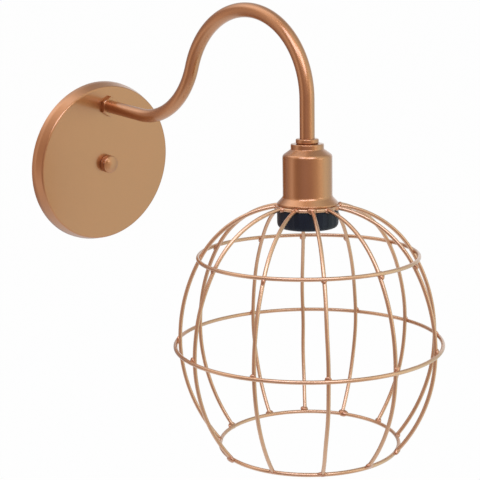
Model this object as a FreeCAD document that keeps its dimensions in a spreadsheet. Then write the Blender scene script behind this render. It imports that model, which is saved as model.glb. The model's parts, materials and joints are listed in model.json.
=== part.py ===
import FreeCAD, Part
import Sketcher
import math
import os
import re

# Cage wall light: a round canopy on a wall strap, a swan-neck tube, and a wire cage under a lampholder.
# Millimetres and degrees. +Z is up, the wall is the plane Y = 0, the light reaches out towards -Y,
# and the origin is the centre of the strap's back, on the wall.
# Head frame: origin on the socket axis in the plane of the cup's mouth, local Z up along the axis,
# which leans so that its foot is further from the wall.
# Outward frame: local Z points away from the wall, local Y is up.

SIZES = {
    # wall strap and its stud
    "strap_length": 104, "strap_width": 18, "strap_thick": 2, "strap_corner": 4,
    "slot_spacing": 70, "slot_width": 5, "slot_length": 14,
    "stud_radius": 2, "stud_collar_radius": 4, "stud_engagement": 5.4,
    "earth_offset": 18, "earth_screw_radius": 2, "earth_head_radius": 3.8, "earth_head_height": 2.4,
    "earth_washer_radius": 5, "earth_washer_thick": 0.8, "screwdriver_slot": 0.9,
    # canopy
    "canopy_rear_radius": 81, "canopy_skirt": 4.6, "canopy_skirt_radius": 80.6, "canopy_front_radius": 77.6,
    "canopy_depth": 13.5, "canopy_sheet": 1.2, "canopy_edge_round": 1.8, "canopy_side_round": 12,
    "hole_play": 0.3,
    # knurled nut that holds the canopy
    "thumb_radius": 8.8, "thumb_bevel": 0.7, "thumb_knurl_height": 7, "thumb_dome_rise": 1.8,
    "thumb_relief": 0.5, "knurl_radius": 0.7, "knurl_count": 24, "running_play": 0.05,
    # swan-neck tube and its nuts
    "tube_radius": 6.35, "tube_wall": 1.2, "arm_height": 58, "arm_inset": 4.5, "arm_run": 64.3,
    "bend_radius": 71.5, "arch_peak": 172.7,
    "arm_nut_flats": 18, "outer_nut_thick": 4, "inner_nut_thick": 4, "nut_bevel": 1,
    "lock_washer_radius": 10.6, "lock_washer_thick": 1, "lock_tooth_depth": 1.6, "lock_tooth_count": 10,
    "bush_flange": 1, "bush_sleeve": 6, "bush_wall": 1.2,
    # place and lean of the head
    "head_reach": 290, "head_height": 20, "head_lean": 6.8,
    # cup over the lampholder
    "cup_mouth_radius": 26, "cup_lip": 1.6, "cup_flare": 5.4, "cup_gap": 0.6, "cup_body_length": 35,
    "cup_shoulder": 5, "cup_step_radius": 14, "cup_step": 4.5, "cup_wall": 0.8,
    "cup_shoulder_round": 2.5, "cup_flare_round": 2, "cup_step_round": 1.2, "cup_lip_round": 0.6,
    "collar_radius": 9.7, "collar_height": 4.2, "collar_round": 1.3,
    # threaded nipple and its lock nut
    "nipple_wall": 1.6, "nipple_in_tube": 14, "nipple_in_holder": 12, "nipple_nut_flats": 15,
    "nipple_nut_thick": 3.2,
    # lampholder
    "barrel_radius": 19.6, "barrel_bore_radius": 16, "barrel_mouth": 17, "holder_roof": 6,
    "holder_shoulder": 3, "holder_neck_radius": 9, "holder_neck": 5, "insert_play": 0.1,
    "insert_thick": 8, "recess_depth": 4.5, "recess_ledge": 1.2,
    "shell_radius": 13.2, "shell_wall": 0.5, "shell_mouth": 8, "shell_length": 17.5,
    "contact_radius": 4.5, "contact_thick": 1.1, "contact_dome_rise": 0.9,
    "contact_stem_radius": 3, "contact_stem_length": 8, "contact_travel": 1.6,
    # shade ring on the barrel
    "ring_radius": 26, "ring_height": 16, "ring_edge_round": 3, "grip_radius": 5, "grip_depth": 0.45,
    "grip_count": 16, "seat_play": 0.1,
    # wire cage
    "wire_radius": 1.7, "weld_bite": 0.4, "neck_ring_gap": 4.2,
    "top_ring_radius": 93.9, "top_ring_drop": 44, "mid_ring_radius": 115, "mid_ring_drop": 120.6,
    "bottom_ring_radius": 78.2, "bottom_ring_drop": 210.9, "rib_foot_out": 1, "rib_foot_up": 1.1,
}

# Bearing of each rib round the socket axis, from +X. The cage is welded by hand, so they are uneven.
RIB_BEARINGS = (20, 46, 71, 105, 131, 167, 201, 231, 261, 293, 323, 351)

# Sizes that follow from others, as expressions.
TUBE_BORE = "(tube_radius - tube_wall)"
NIPPLE_RADIUS = "(tube_radius - tube_wall - running_play)"
CUP_RADIUS = "(barrel_radius + cup_gap + cup_wall)"
CUP_FLARE_TOP = "(cup_lip + cup_flare)"
CUP_BODY_TOP = "(cup_lip + cup_flare + cup_body_length)"
CUP_STEP_BASE = "(cup_lip + cup_flare + cup_body_length + cup_shoulder)"
CUP_HEIGHT = "(cup_lip + cup_flare + cup_body_length + cup_shoulder + cup_step)"
SHELL_SEAT = "(shell_length - shell_mouth)"
RECESS_FLOOR = "(shell_length - shell_mouth + recess_depth)"
HOLDER_CEILING = "(shell_length - shell_mouth + recess_depth + insert_thick)"
BARREL_TOP = "(shell_length - shell_mouth + recess_depth + insert_thick + holder_roof)"
RING_TOP = "(-2 * wire_radius - 2 * seat_play)"
NECK_RING_RADIUS = "(barrel_radius + neck_ring_gap + wire_radius)"

V = FreeCAD.Vector
doc = FreeCAD.newDocument("cage_wall_light")
sheet = doc.addObject("Spreadsheet::Sheet", "Sizes")
subParts = []


def fillSheet():
    values = dict(SIZES)
    for number, bearing in enumerate(RIB_BEARINGS, 1):
        values["rib_%02d_bearing" % number] = bearing
    for row, (name, value) in enumerate(values.items(), 1):
        sheet.set("A%d" % row, name)
        sheet.set("B%d" % row, str(value))
        sheet.setAlias("B%d" % row, name)
    doc.recompute()
    return set(values)


sizeNames = fillSheet()


def bound(text):
    # an expression in which each name of a size stands for its cell
    return re.sub(r"[a-z][a-z_0-9]*", lambda m: "Sizes." + m.group() if m.group() in sizeNames else m.group(),
                  text)


def value(text):
    result = sheet.evalExpression(bound(text))
    return float(getattr(result, "Value", result))


def bind(item, prop, text):
    item.setExpression(prop, bound(text))


def inOutwardFrame(away="0", up="0", along="0"):
    return "placement(vector(%s; -(%s); %s); rotation(vector(1; 0; 0); 90))" % (along, away, up)


def inHeadFrame(height="0", bearing="0"):
    head = "placement(vector(0; -head_reach; head_height); rotation(vector(1; 0; 0); -head_lean))"
    return head + " * placement(vector(0; 0; %s); rotation(vector(0; 0; 1); %s))" % (height, bearing)


def newBody(name, place):
    body = doc.addObject("PartDesign::Body", name)
    body.Label = name
    if place:
        bind(body, "Placement", place)
    subParts.append(body)
    return body


def originPlane(body, role):
    return [item for item in body.Origin.OriginFeatures if item.Role == role][0]


def newSketch(body, role):
    sketch = body.newObject("Sketcher::SketchObject", body.Name + "_sketch")
    sketch.AttachmentSupport = [(originPlane(body, role), "")]
    sketch.MapMode = "FlatFace"
    return sketch


def pin(sketch, geometry, position, x, y):
    # hold one point of the sketch at a place given by two expressions
    for kind, text in (("DistanceX", x), ("DistanceY", y)):
        index = sketch.addConstraint(Sketcher.Constraint(kind, -1, 1, geometry, position, value(text)))
        bind(sketch, "Constraints[%d]" % index, text)


def setRadius(sketch, geometry, text):
    index = sketch.addConstraint(Sketcher.Constraint("Radius", geometry, value(text)))
    bind(sketch, "Constraints[%d]" % index, text)


def addCircle(sketch, radius, x="0", y="0"):
    centre = V(value(x), value(y), 0)
    circle = sketch.addGeometry(Part.Circle(centre, V(0, 0, 1), value(radius)), False)
    pin(sketch, circle, 3, x, y)
    setRadius(sketch, circle, radius)


def domeRadius(first, last):
    # radius of the arc through both points whose centre is on the upright axis, where one point is
    spread, rise = first.x - last.x, first.y - last.y
    return (spread ** 2 + rise ** 2) / (2 * abs(rise))


def addOutline(sketch, corners):
    # Closed outline of straight sides. A corner's third item is the radius of an arc to the next corner,
    # which bulges to the right of the way round, or the word dome for an arc centred on the upright axis.
    points = [V(value(corner[0]), value(corner[1]), 0) for corner in corners]
    ends = []
    for number, corner in enumerate(corners):
        first, last = points[number], points[(number + 1) % len(points)]
        if len(corner) == 3:
            chord = last - first
            radius = domeRadius(first, last) if corner[2] == "dome" else value(corner[2])
            rise = radius - math.sqrt(radius ** 2 - (chord.Length / 2) ** 2)
            outward = V(chord.y, -chord.x, 0).normalize()
            curve = Part.Arc(first, (first + last) * 0.5 + outward * rise, last)
        else:
            curve = Part.LineSegment(first, last)
        side = sketch.addGeometry(curve, False)
        startsHere = sketch.Geometry[side].StartPoint.distanceToPoint(first) < 1e-4
        ends.append((side, 1, 2) if startsHere else (side, 2, 1))
    for number, corner in enumerate(corners):
        side, start, end = ends[number]
        following, nextStart, nextEnd = ends[(number + 1) % len(ends)]
        sketch.addConstraint(Sketcher.Constraint("Coincident", side, end, following, nextStart))
        pin(sketch, side, start, corner[0], corner[1])
        if len(corner) == 3 and corner[2] == "dome":
            sketch.addConstraint(Sketcher.Constraint("PointOnObject", side, 3, -2))
        elif len(corner) == 3:
            setRadius(sketch, side, corner[2])


def addFeature(body, kind, sketch, **settings):
    feature = body.newObject("PartDesign::" + kind, body.Name + "_" + kind.lower())
    feature.Profile = sketch
    for prop, setting in settings.items():
        setattr(feature, prop, setting)
    return feature


def turn(body, corners, cut=False):
    # turned form about the local Z axis: corners are (radius, height)
    sketch = newSketch(body, "XZ_Plane")
    addOutline(sketch, corners)
    kind = "Groove" if cut else "Revolution"
    return addFeature(body, kind, sketch, ReferenceAxis=(sketch, ["V_Axis"]), Angle=360)


def pad(body, draw, height):
    sketch = newSketch(body, "XY_Plane")
    draw(sketch)
    feature = addFeature(body, "Pad", sketch)
    bind(feature, "Length", height)
    return feature


def cutThrough(body, draw):
    # straight cut along the local Z axis, right through the piece
    sketch = newSketch(body, "XY_Plane")
    draw(sketch)
    before = body.Shape.Volume
    feature = addFeature(body, "Pocket", sketch, Type="ThroughAll", Midplane=True)
    doc.recompute()
    if not body.Shape.Volume < before:
        raise RuntimeError(body.Label + ": a cut removes nothing")
    return feature


def repeatRound(body, feature, count):
    pattern = body.newObject("PartDesign::PolarPattern", body.Name + "_pattern")
    pattern.Originals = [feature]
    pattern.Axis = (feature.Profile[0], ["N_Axis"])
    pattern.Angle = 360
    bind(pattern, "Occurrences", count)
    body.Tip = pattern
    doc.recompute()


def roundEdges(body, radius, *places):
    # round the circular edges that lie at each (radius, height) place
    doc.recompute()
    base = body.Tip
    names = []
    for place in places:
        for number, edge in enumerate(base.Shape.Edges, 1):
            if not isinstance(edge.Curve, Part.Circle):
                continue
            centre = edge.Curve.Center
            if abs(edge.Curve.Radius - value(place[0])) < 1e-4 and abs(centre.z - value(place[1])) < 1e-4:
                names.append("Edge%d" % number)
    if len(names) < len(places):
        raise RuntimeError(body.Label + ": an edge to be rounded isn't there")
    fillet = body.newObject("PartDesign::Fillet", body.Name + "_fillet")
    fillet.Base = (base, names)
    bind(fillet, "Radius", radius)
    body.Tip = fillet
    doc.recompute()


def hexCorners(flats):
    # corners of a hexagon with two of them on the local Y axis
    reach = "(%s) / 2 / cos(30)" % flats
    return [("%s * cos(%d)" % (reach, 60 * k + 30), "%s * sin(%d)" % (reach, 60 * k + 30)) for k in range(6)]


def hexNut(name, place, flats, bore, thick):
    body = newBody(name, place)
    pad(body, lambda sketch: addOutline(sketch, hexCorners(flats)), thick)
    doc.recompute()
    cutThrough(body, lambda sketch: addCircle(sketch, bore))
    corner = "(%s) / 2 / cos(30) + 0.1" % flats
    flat = "(%s) / 2" % flats
    turn(body, [(flat, thick), (corner, "%s - nut_bevel" % thick), (corner, thick)], cut=True)
    turn(body, [(flat, "0"), (corner, "0"), (corner, "nut_bevel")], cut=True)
    return body


# ---- wall strap ----

def makeStrap():
    body = newBody("wall_strap", inOutwardFrame())
    half, side, corner = "strap_length / 2", "strap_width / 2", "strap_corner"
    corners = [("-(%s) + %s" % (half, corner), "-(%s)" % side),
               ("%s - %s" % (half, corner), "-(%s)" % side, corner),
               (half, "-(%s) + %s" % (side, corner)),
               (half, "%s - %s" % (side, corner), corner),
               ("%s - %s" % (half, corner), side),
               ("-(%s) + %s" % (half, corner), side, corner),
               ("-(%s)" % half, "%s - %s" % (side, corner)),
               ("-(%s)" % half, "-(%s) + %s" % (side, corner), corner)]
    pad(body, lambda sketch: addOutline(sketch, corners), "strap_thick")
    doc.recompute()
    end, middle, edge = "slot_length / 2 - slot_width / 2", "slot_spacing / 2", "slot_width / 2"
    for way in ("-", ""):
        place = "%s(%s)" % (way, middle)
        slot = [("%s - (%s)" % (place, end), "-(%s)" % edge),
                ("%s + (%s)" % (place, end), "-(%s)" % edge, edge + " * 1.0001"),
                ("%s + (%s)" % (place, end), edge),
                ("%s - (%s)" % (place, end), edge, edge + " * 1.0001")]
        cutThrough(body, lambda sketch: addOutline(sketch, slot))
    cutThrough(body, lambda sketch: addCircle(sketch, "stud_collar_radius"))
    cutThrough(body, lambda sketch: addCircle(sketch, "earth_screw_radius", "earth_offset"))


def makeStud():
    body = newBody("strap_stud", inOutwardFrame())
    tip, bevel = "canopy_depth + stud_engagement", "stud_radius * 0.3"
    turn(body, [("0", "0"), ("stud_collar_radius", "0"), ("stud_collar_radius", "strap_thick"),
                ("stud_radius", "strap_thick"), ("stud_radius", "%s - %s" % (tip, bevel)),
                ("stud_radius - " + bevel, tip), ("0", tip)])


def makeEarthScrew():
    washer = newBody("earth_washer", inOutwardFrame("strap_thick", along="earth_offset"))
    pad(washer, lambda sketch: addCircle(sketch, "earth_washer_radius"), "earth_washer_thick")
    doc.recompute()
    cutThrough(washer, lambda sketch: addCircle(sketch, "earth_screw_radius"))
    screw = newBody("earth_screw", inOutwardFrame(along="earth_offset"))
    seat = "strap_thick + earth_washer_thick"
    top = seat + " + earth_head_height"
    turn(screw, [("0", "0"), ("earth_screw_radius", "0"), ("earth_screw_radius", seat),
                 ("earth_head_radius", seat), ("earth_head_radius", top), ("0", top)])
    roundEdges(screw, "earth_head_height * 0.4", ("earth_head_radius", top))
    sketch = newSketch(screw, "XZ_Plane")
    half, floor = "screwdriver_slot / 2", top + " - earth_head_height * 0.5"
    addOutline(sketch, [("-(%s)" % half, floor), (half, floor), (half, top + " + 1"),
                        ("-(%s)" % half, top + " + 1")])
    addFeature(screw, "Pocket", sketch, Type="ThroughAll", Midplane=True)


# ---- canopy and its nut ----

def makeCanopy():
    body = newBody("canopy", inOutwardFrame())
    sheetFace = "canopy_depth - canopy_sheet"
    turn(body, [("0", sheetFace), ("canopy_front_radius - canopy_sheet", sheetFace),
                ("canopy_skirt_radius - canopy_sheet", "canopy_skirt"),
                ("canopy_rear_radius - canopy_sheet", "0"), ("canopy_rear_radius", "0"),
                ("canopy_skirt_radius", "canopy_skirt"),
                ("canopy_front_radius", "canopy_depth"), ("0", "canopy_depth")])
    roundEdges(body, "canopy_side_round", ("canopy_skirt_radius", "canopy_skirt"))
    roundEdges(body, "canopy_edge_round", ("canopy_front_radius", "canopy_depth"))
    cutThrough(body, lambda sketch: addCircle(sketch, "stud_radius + hole_play"))
    cutThrough(body, lambda sketch: addCircle(sketch, "tube_radius + hole_play", "0", "arm_height"))


def makeThumbNut():
    body = newBody("canopy_nut", inOutwardFrame("canopy_depth"))
    depth = "stud_engagement + thumb_relief"
    crown = "thumb_knurl_height + thumb_dome_rise"
    bore = "stud_radius + running_play"
    turn(body, [(bore, "0"), ("thumb_radius - thumb_bevel", "0"), ("thumb_radius", "thumb_bevel"),
                ("thumb_radius", "thumb_knurl_height - thumb_bevel"),
                ("thumb_radius - thumb_bevel", "thumb_knurl_height", "dome"),
                ("0", crown), ("0", depth), (bore, depth)])
    doc.recompute()
    flute = cutThrough(body, lambda sketch: addCircle(sketch, "knurl_radius",
                                                      "thumb_radius + knurl_radius * 0.4"))
    repeatRound(body, flute, "knurl_count")


# ---- swan-neck tube, its nuts and bush ----

def tubeEnd():
    # lower end of the tube, on the cup's top, as expressions for Y and Z
    return ("-head_reach + %s * sin(head_lean)" % CUP_HEIGHT,
            "head_height + %s * cos(head_lean)" % CUP_HEIGHT)


def archOfArm():
    # The arch touches three lines: the level of its peak, the socket axis and the first bend. For a radius r
    # its centre is start + r * slope, and its distance from the bend's centre is the sum of both radii.
    lean = math.radians(value("head_lean"))
    axis = V(math.sin(lean), math.cos(lean), 0)
    towardsWall = V(axis.y, -axis.x, 0)
    bend = V(-value("arm_run"), value("arm_height + bend_radius"), 0)
    mouth = V(-value("head_reach"), value("head_height"), 0)
    start = mouth + axis * (value("arch_peak - head_height") / axis.y)
    slope = towardsWall - axis * ((1 - axis.x) / axis.y)
    gap, bendRadius = start - bend, value("bend_radius")
    a = slope.dot(slope) - 1
    b = 2 * (gap.dot(slope) - bendRadius)
    c = gap.dot(gap) - bendRadius ** 2
    radius = (-b - math.sqrt(b ** 2 - 4 * a * c)) / (2 * a)
    return bend, start + slope * radius, radius, axis


def makeArm():
    body = newBody("arm_tube", None)
    spine = newSketch(body, "YZ_Plane")
    bend, arch, archRadius, axis = archOfArm()
    start = V(-value("arm_inset"), value("arm_height"), 0)
    low = V(bend.x, start.y, 0)
    meet = bend + (arch - bend).normalize() * value("bend_radius")
    drop = arch + V(-axis.y, axis.x, 0) * archRadius
    endY, endZ = tubeEnd()
    end = V(value(endY), value(endZ), 0)
    print("arch radius %.2f" % archRadius)

    def arc(centre, radius, first, last):
        circle = Part.Circle(centre, V(0, 0, 1), radius)
        angles = [math.atan2(point.y - centre.y, point.x - centre.x) for point in (first, last)]
        return spine.addGeometry(Part.ArcOfCircle(circle, angles[0], angles[1]), False)

    run = spine.addGeometry(Part.LineSegment(start, low), False)
    lower = arc(bend, value("bend_radius"), meet, low)
    upper = arc(arch, archRadius, meet, drop)
    fall = spine.addGeometry(Part.LineSegment(drop, end), False)
    spine.addConstraint([Sketcher.Constraint("Horizontal", run),
                         Sketcher.Constraint("Tangent", run, 2, lower, 2),
                         Sketcher.Constraint("Tangent", lower, 1, upper, 1),
                         Sketcher.Constraint("Tangent", upper, 2, fall, 1)])
    pin(spine, run, 1, "-arm_inset", "arm_height")
    index = spine.addConstraint(Sketcher.Constraint("DistanceX", -1, 1, run, 2, low.x))
    bind(spine, "Constraints[%d]" % index, "-arm_run")
    setRadius(spine, lower, "bend_radius")
    pin(spine, fall, 2, endY, endZ)
    # a point further down the socket axis, in line with the tube's last run, and the level of the peak
    mark = spine.addGeometry(Part.Point(V(-value("head_reach"), value("head_height"), 0)), True)
    pin(spine, mark, 1, "-head_reach", "head_height")
    spine.addConstraint(Sketcher.Constraint("PointOnObject", mark, 1, fall))
    peak = value("arch_peak")
    level = spine.addGeometry(Part.LineSegment(V(end.x, peak, 0), V(0, peak, 0)), True)
    pin(spine, level, 1, endY, "arch_peak")
    pin(spine, level, 2, "0", "arch_peak")
    spine.addConstraint(Sketcher.Constraint("Tangent", upper, level))
    sweepRound(body, spine, "tube_radius", TUBE_BORE)


def sweepRound(body, spine, radius, bore=None):
    # round bar or tube along a spine, from the first end of its first edge
    section = body.newObject("Sketcher::SketchObject", body.Name + "_section")
    doc.recompute()
    section.AttachmentSupport = [(spine, "Edge1")]
    section.MapMode = "NormalToEdge"
    section.MapPathParameter = 0
    addCircle(section, radius)
    if bore:
        addCircle(section, bore)
    pipe = addFeature(body, "AdditivePipe", section)
    pipe.Spine = spine


def makeArmFastenings():
    bore = "tube_radius + running_play"
    face = "canopy_depth - canopy_sheet - lock_washer_thick"
    hexNut("arm_outer_nut", inOutwardFrame("canopy_depth", "arm_height"), "arm_nut_flats", bore,
           "outer_nut_thick")
    hexNut("arm_inner_nut", inOutwardFrame(face + " - inner_nut_thick", "arm_height"), "arm_nut_flats",
           bore, "inner_nut_thick")
    washer = newBody("arm_lock_washer", inOutwardFrame(face, "arm_height"))
    pad(washer, lambda sketch: addCircle(sketch, "lock_washer_radius"), "lock_washer_thick")
    doc.recompute()
    cutThrough(washer, lambda sketch: addCircle(sketch, bore))
    root, tip = "lock_washer_radius - lock_tooth_depth", "lock_washer_radius + 1"
    notch = [(root, "-0.8"), (tip, "-1.4"), (tip, "1.4"), (root, "0.8")]
    cut = cutThrough(washer, lambda sketch: addOutline(sketch, notch))
    repeatRound(washer, cut, "lock_tooth_count")


def makeTubeBush():
    body = newBody("tube_bush", inOutwardFrame("arm_inset", "arm_height"))
    bore = TUBE_BORE + " - bush_wall"
    turn(body, [(bore, "-bush_flange"), ("tube_radius", "-bush_flange"), ("tube_radius", "0"),
                (TUBE_BORE, "0"), (TUBE_BORE, "bush_sleeve"), (bore, "bush_sleeve")])


# ---- cup, collar and nipple ----

def makeCup():
    body = newBody("cup", inHeadFrame())
    slant = "cup_wall * 0.6"
    inside = "barrel_radius + cup_gap"
    turn(body, [("cup_mouth_radius - cup_wall", "0"), ("cup_mouth_radius", "0"),
                ("cup_mouth_radius", "cup_lip"), (CUP_RADIUS, CUP_FLARE_TOP), (CUP_RADIUS, CUP_BODY_TOP),
                ("cup_step_radius", CUP_STEP_BASE), ("cup_step_radius", CUP_HEIGHT),
                (NIPPLE_RADIUS, CUP_HEIGHT), (NIPPLE_RADIUS, CUP_HEIGHT + " - cup_wall"),
                ("cup_step_radius - cup_wall", CUP_HEIGHT + " - cup_wall"),
                ("cup_step_radius - cup_wall", "%s - %s" % (CUP_STEP_BASE, slant)),
                (inside, "%s - %s" % (CUP_BODY_TOP, slant)), (inside, CUP_FLARE_TOP),
                ("cup_mouth_radius - cup_wall", "cup_lip")])
    roundEdges(body, "cup_shoulder_round", (CUP_RADIUS, CUP_BODY_TOP))
    roundEdges(body, "cup_flare_round", (CUP_RADIUS, CUP_FLARE_TOP))
    roundEdges(body, "cup_step_round", ("cup_step_radius", CUP_HEIGHT))
    roundEdges(body, "cup_lip_round", ("cup_mouth_radius", "cup_lip"))


def makeCollar():
    body = newBody("cup_collar", inHeadFrame(CUP_HEIGHT))
    bore = "tube_radius + running_play"
    turn(body, [(bore, "0"), ("collar_radius", "0"), ("collar_radius", "collar_height"),
                (bore, "collar_height")])
    roundEdges(body, "collar_round", ("collar_radius", "0"), ("collar_radius", "collar_height"))


def makeNipple():
    body = newBody("nipple", inHeadFrame())
    bore = NIPPLE_RADIUS + " - nipple_wall"
    bottom = BARREL_TOP + " + holder_shoulder + holder_neck - nipple_in_holder"
    top = CUP_HEIGHT + " + nipple_in_tube"
    turn(body, [(bore, bottom), (NIPPLE_RADIUS, bottom), (NIPPLE_RADIUS, top), (bore, top)])
    hexNut("nipple_nut", inHeadFrame(CUP_HEIGHT + " - cup_wall - nipple_nut_thick"), "nipple_nut_flats",
           NIPPLE_RADIUS, "nipple_nut_thick")


# ---- lampholder ----

def makeHolder():
    body = newBody("lampholder_body", inHeadFrame())
    neckBase = BARREL_TOP + " + holder_shoulder"
    neckTop = neckBase + " + holder_neck"
    turn(body, [("barrel_bore_radius", "-barrel_mouth"), ("barrel_radius", "-barrel_mouth"),
                ("barrel_radius", BARREL_TOP), ("holder_neck_radius", neckBase),
                ("holder_neck_radius", neckTop), (NIPPLE_RADIUS, neckTop),
                (NIPPLE_RADIUS, HOLDER_CEILING), ("barrel_bore_radius", HOLDER_CEILING)])


def makeInsert():
    # porcelain: the shell stands on its rim, the contact's stem slides in its centre
    body = newBody("lampholder_insert", inHeadFrame())
    stemBore = "contact_stem_radius + running_play"
    rim = "barrel_bore_radius - insert_play"
    recess = "shell_radius - recess_ledge"
    turn(body, [(stemBore, RECESS_FLOOR), (recess, RECESS_FLOOR), (recess, SHELL_SEAT), (rim, SHELL_SEAT),
                (rim, HOLDER_CEILING), (stemBore, HOLDER_CEILING)])


def makeShell():
    body = newBody("screw_shell", inHeadFrame("-shell_mouth"))
    outside = "shell_radius + shell_wall"
    turn(body, [("shell_radius", "0"), (outside, "0"), (outside, "shell_length"),
                ("shell_radius", "shell_length")])


def makeContact():
    body = newBody("centre_contact", inHeadFrame(RECESS_FLOOR + " - contact_travel"))
    stemTop = "contact_stem_length - contact_travel"
    turn(body, [("0", "-contact_thick - contact_dome_rise", "dome"), ("contact_radius", "-contact_thick"),
                ("contact_radius", "0"), ("contact_stem_radius", "0"), ("contact_stem_radius", stemTop),
                ("0", stemTop)])


# ---- shade ring ----

def makeShadeRing():
    body = newBody("shade_ring", inHeadFrame(RING_TOP + " - ring_height"))
    bore = "barrel_radius + running_play"
    turn(body, [(bore, "0"), ("ring_radius", "0"), ("ring_radius", "ring_height"), (bore, "ring_height")])
    roundEdges(body, "ring_edge_round", ("ring_radius", "0"))
    grip = cutThrough(body, lambda sketch: addCircle(sketch, "grip_radius",
                                                     "ring_radius + grip_radius - grip_depth"))
    repeatRound(body, grip, "grip_count")


# ---- wire cage ----

def makeHoop(name, radius, height):
    hoop = doc.addObject("Part::Torus", name)
    hoop.Label = name
    bind(hoop, "Radius1", radius)
    bind(hoop, "Radius2", "wire_radius")
    bind(hoop, "Placement", inHeadFrame(height))
    subParts.append(hoop)


def makeRib(number):
    # Three tangent arcs in the plane through the socket axis: a flatter crown from the neck ring to the top
    # hoop, then one arc down to the mid hoop, where the rib stands upright, and one in to the bottom hoop.
    body = newBody("rib_%02d" % number, inHeadFrame("0", "rib_%02d_bearing" % number))
    spine = newSketch(body, "XZ_Plane")
    inside = " - 2 * wire_radius + weld_bite"
    foot = ("bottom_ring_radius + rib_foot_out", "-bottom_ring_drop + rib_foot_up")
    waist = ("mid_ring_radius" + inside, "-mid_ring_drop")
    shoulder = ("top_ring_radius" + inside, "-top_ring_drop")
    head = (NECK_RING_RADIUS + " + wire_radius - weld_bite * 0.75", "-wire_radius - seat_play")
    footAt, waistAt, shoulderAt, headAt = [V(value(x), value(y), 0) for x, y in (foot, waist, shoulder, head)]

    def uprightCentre(point):
        # centre of the arc that stands upright at the waist and passes through the point
        inward, rise = waistAt.x - point.x, point.y - waistAt.y
        return V(waistAt.x - (inward ** 2 + rise ** 2) / (2 * inward), waistAt.y, 0)

    def arc(centre, first, last):
        circle = Part.Circle(centre, V(0, 0, 1), (first - centre).Length)
        angles = [math.atan2(point.y - centre.y, point.x - centre.x) for point in (first, last)]
        return spine.addGeometry(Part.ArcOfCircle(circle, angles[0], angles[1]), False)

    flank = uprightCentre(shoulderAt)
    normal = (shoulderAt - flank).normalize()
    chord = headAt - shoulderAt
    crown = shoulderAt - normal * (chord.Length ** 2 / (-2 * chord.dot(normal)))
    lower = arc(uprightCentre(footAt), footAt, waistAt)
    middle = arc(flank, waistAt, shoulderAt)
    upper = arc(crown, shoulderAt, headAt)
    spine.addConstraint([Sketcher.Constraint("Coincident", lower, 2, middle, 1),
                         Sketcher.Constraint("Horizontal", lower, 3, lower, 2),
                         Sketcher.Constraint("Horizontal", middle, 3, middle, 1),
                         Sketcher.Constraint("Tangent", middle, 2, upper, 1)])
    pin(spine, lower, 1, *foot)
    pin(spine, middle, 1, *waist)
    pin(spine, upper, 1, *shoulder)
    pin(spine, upper, 2, *head)
    sweepRound(body, spine, "wire_radius")


def makeCage():
    makeHoop("neck_ring", NECK_RING_RADIUS, "-wire_radius - seat_play")
    for number in range(1, len(RIB_BEARINGS) + 1):
        makeRib(number)
    makeHoop("top_ring", "top_ring_radius", "-top_ring_drop")
    makeHoop("mid_ring", "mid_ring_radius", "-mid_ring_drop")
    makeHoop("bottom_ring", "bottom_ring_radius", "-bottom_ring_drop")


def checkAndWrite():
    doc.recompute()
    for item in doc.Objects:
        if "Invalid" in item.State or "Error" in item.State:
            raise RuntimeError(item.Label + " failed: " + str(item.State))
    os.makedirs("parts", exist_ok=True)
    for item in subParts:
        shape = item.Shape
        if shape.isNull() or not shape.isValid() or not shape.Solids:
            raise RuntimeError(item.Label + " has no valid solid")
    for item in subParts:
        item.Shape.exportStep(os.path.join("parts", item.Label + ".step"))
    print("wrote", len(subParts), "sub-parts")


makeStrap()
makeStud()
makeEarthScrew()
makeCanopy()
makeThumbNut()
makeArm()
makeArmFastenings()
makeTubeBush()
makeCup()
makeCollar()
makeNipple()
makeHolder()
makeInsert()
makeShell()
makeContact()
makeShadeRing()
makeCage()
checkAndWrite()
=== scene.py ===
import bpy
import json
import math
import numpy as np
from mathutils import Matrix, Vector


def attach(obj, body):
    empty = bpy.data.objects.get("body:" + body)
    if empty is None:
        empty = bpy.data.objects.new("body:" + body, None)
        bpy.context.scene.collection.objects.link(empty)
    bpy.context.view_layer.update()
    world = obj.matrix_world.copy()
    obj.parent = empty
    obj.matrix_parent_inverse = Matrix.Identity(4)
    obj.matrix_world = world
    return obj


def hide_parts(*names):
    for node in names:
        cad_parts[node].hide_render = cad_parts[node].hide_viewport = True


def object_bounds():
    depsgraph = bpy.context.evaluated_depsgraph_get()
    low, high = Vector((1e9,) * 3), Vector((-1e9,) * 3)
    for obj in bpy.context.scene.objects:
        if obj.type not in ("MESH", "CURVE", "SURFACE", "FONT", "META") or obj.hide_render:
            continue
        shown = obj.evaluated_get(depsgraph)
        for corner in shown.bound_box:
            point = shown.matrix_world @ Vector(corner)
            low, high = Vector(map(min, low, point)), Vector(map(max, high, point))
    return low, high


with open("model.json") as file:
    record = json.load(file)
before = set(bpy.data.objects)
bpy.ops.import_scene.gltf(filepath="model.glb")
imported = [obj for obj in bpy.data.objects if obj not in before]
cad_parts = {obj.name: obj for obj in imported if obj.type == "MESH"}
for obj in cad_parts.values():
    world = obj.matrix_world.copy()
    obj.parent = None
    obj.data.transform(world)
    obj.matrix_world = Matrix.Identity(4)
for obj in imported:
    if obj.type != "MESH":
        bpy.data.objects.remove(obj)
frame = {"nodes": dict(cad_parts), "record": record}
nodes = frame["nodes"]
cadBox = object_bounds()
print("loaded", len(nodes), "nodes")

mm = 0.001
upAxis = np.array([0, 0, 1])
phaseRange = 6.3           # about a full turn, for the random phases of waves
noiseRange = (0.3, 0.7)    # where most values of a noise lie

# the head frame: its origin is on the socket axis, in the plane of the cup's mouth
head = {"origin": (0.0, -0.290, 0.020), "lean": math.radians(6.8)}


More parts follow.
